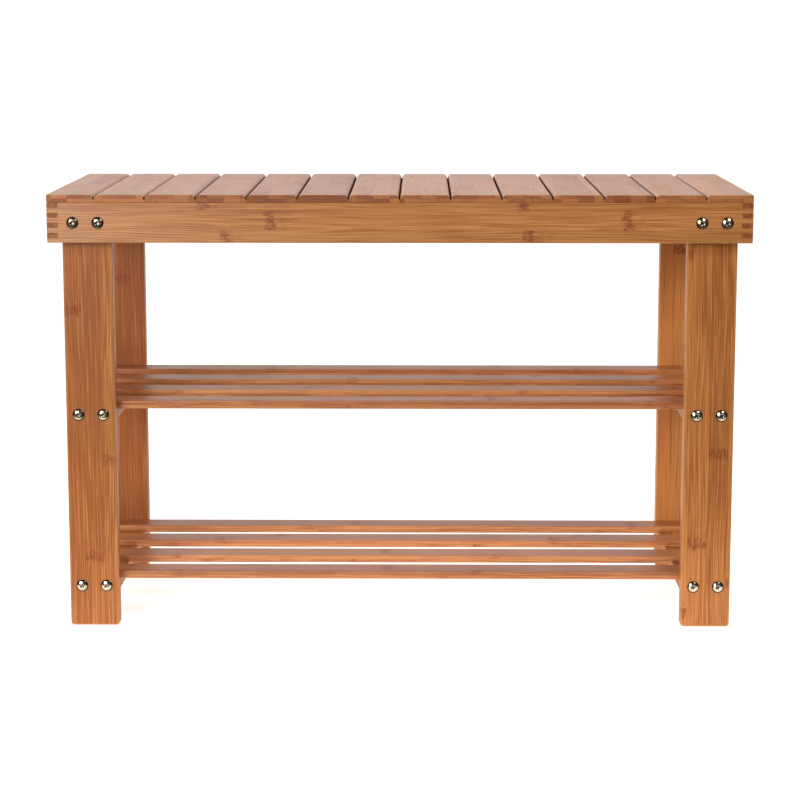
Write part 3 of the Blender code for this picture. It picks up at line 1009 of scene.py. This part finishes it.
def studio_world():
    """Surround the bench with a white backdrop behind it and a dimmer room in front."""
    world = bpy.data.worlds.new("studio")
    bpy.context.scene.world = world
    world.use_nodes = True
    tree = world.node_tree
    tree.nodes.clear()
    direction = add_node(tree, "TexCoord").outputs["Generated"]
    axes = add_node(tree, "SeparateXYZ", {0: direction})
    # Each axis: where the light changes along it, and its strength before and after that.
    parts = []
    for axis, *reach in (
            (1, -0.25, 0.35, 0.08, 1.0), (2, 0.25, 0.9, 1.0, 0.55), (0, 0.0, 0.17, 1.0, 0.82)):
        parts.append(ramp(tree, axes.outputs[axis], *reach, interpolation_type="SMOOTHSTEP"))
    room = parts[0]
    for part in parts[1:]:
        room = calculate(tree, "MULTIPLY", room, part)
    seen = add_node(tree, "LightPath").outputs["Is Camera Ray"]
    strength = add_node(tree, "Mix", {0: seen, 2: room, 3: 1.0})
    sky = add_node(tree, "Background", {"Color": (1, 1, 1, 1), "Strength": strength})
    add_node(tree, "OutputWorld", {"Surface": sky.outputs[0]})


class BENCH_OT_stage(bpy.types.Operator):
    """Lay the pale floor, hang the lights and set up the camera"""

    bl_idname = "bench.stage"
    bl_label = "Stage"

    def execute(self, context):
        settings = context.scene.bench_stage
        shape = bmesh.new()
        front, far = settings.floor_front, FLOOR_REACH
        shape.faces.new([shape.verts.new(corner) for corner in (
            (-far, front, 0.0), (far, front, 0.0), (far, far, 0.0), (-far, far, 0.0))])
        floor = add_object("floor", shape)
        floor.data.materials.append(floor_material(settings))
        floor.location.z = -FLOOR_DROP

        for name, (power, *rest) in LIGHTS.items():
            lamp = soft_box(name, getattr(settings, power), *rest)
            # In the lacquer, the scrim would show as a bright sheet.
            lamp.visible_glossy = name != "scrim"
        studio_world()

        camera = bpy.data.cameras.new("camera")
        camera.lens = settings.lens
        camera.shift_y = settings.camera_shift
        camera.clip_start = 0.05
        camera.clip_end = 50.0
        eye = add_object("camera", camera)
        eye.location = settings.camera_place
        eye.rotation_euler = (math.pi / 2 - settings.camera_dip, 0.0, settings.camera_turn)
        context.scene.camera = eye
        context.scene.view_settings.view_transform = "Standard"
        return {"FINISHED"}


class BENCH_PT_panel(bpy.types.Panel):
    """Lists the bench's pieces and their sizes"""

    bl_idname = "BENCH_PT_panel"
    bl_label = "Entryway Bench"
    bl_space_type = "VIEW_3D"
    bl_region_type = "UI"
    bl_category = "Bench"

    def draw(self, context):
        for group in PROPERTY_NAMES:
            settings = getattr(context.scene, group)
            box = self.layout.box()
            for name in settings.bl_rna.properties.keys():
                if name not in ("rna_type", "name"):
                    box.prop(settings, name)
        for operator in OPERATORS:
            self.layout.operator(operator.bl_idname)


OPERATORS = (BENCH_OT_stage, BENCH_OT_aprons, BENCH_OT_seat_slats, BENCH_OT_legs,
             BENCH_OT_shelf_rails, BENCH_OT_shelf_slats, BENCH_OT_screws)
PROPERTY_NAMES = {
    "bench_boards": BenchBoardSizes,
    "bench_bamboo": BenchBambooLook,
    "bench_screws": BenchScrewSizes,
    "bench_stage": BenchStageSettings,
}


def register():
    """Register the classes and hang their settings on the scene."""
    for group in (*PROPERTY_NAMES.values(), *OPERATORS, BENCH_PT_panel):
        bpy.utils.register_class(group)
    for name, group in PROPERTY_NAMES.items():
        setattr(bpy.types.Scene, name, bpy.props.PointerProperty(type=group))


def unregister():
    """Take the settings off the scene and unregister the classes."""
    for name in PROPERTY_NAMES:
        delattr(bpy.types.Scene, name)
    for group in reversed((*PROPERTY_NAMES.values(), *OPERATORS, BENCH_PT_panel)):
        bpy.utils.unregister_class(group)


def main():
    register()
    bpy.ops.bench.stage()
    bpy.ops.bench.aprons()
    bpy.ops.bench.seat_slats()
    bpy.ops.bench.legs()
    bpy.ops.bench.shelf_rails()
    bpy.ops.bench.shelf_slats()
    bpy.ops.bench.screws()
    bpy.context.view_layer.update()


if __name__ == "__main__":
    main()
